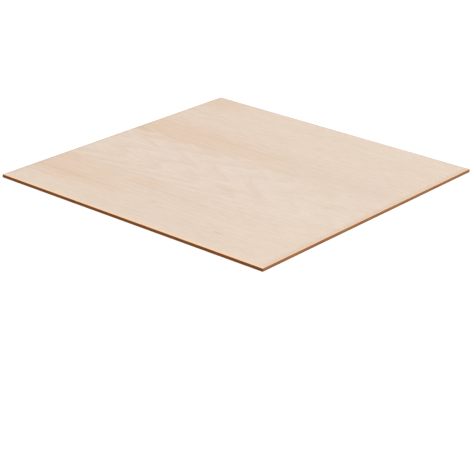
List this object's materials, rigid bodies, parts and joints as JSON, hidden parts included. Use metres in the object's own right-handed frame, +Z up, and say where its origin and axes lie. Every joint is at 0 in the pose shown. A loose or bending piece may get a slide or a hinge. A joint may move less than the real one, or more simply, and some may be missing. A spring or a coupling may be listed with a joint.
{
  "type": "plywood sheet",
  "caption": "Thin square sheet of craft plywood: a brown cross-grained core ply between two pale, straight-grained veneers, with square-cut edges.",
  "frame": {"origin": "middle of the underside, where the sheet rests", "axes": "+X along the grain of the outer veneers, +Y across it and along the grain of the core ply, +Z up out of the good face"},
  "size_m": [0.3, 0.3, 0.003],
  "materials": {
    "back_veneer": "satin",
    "core_ply": "matte",
    "face_veneer": "satin"
  },
  "bodies": {
    "root": {"back_veneer": "back_veneer", "core_ply": "core_ply", "face_veneer": "face_veneer"}
  },
  "joints": []
}
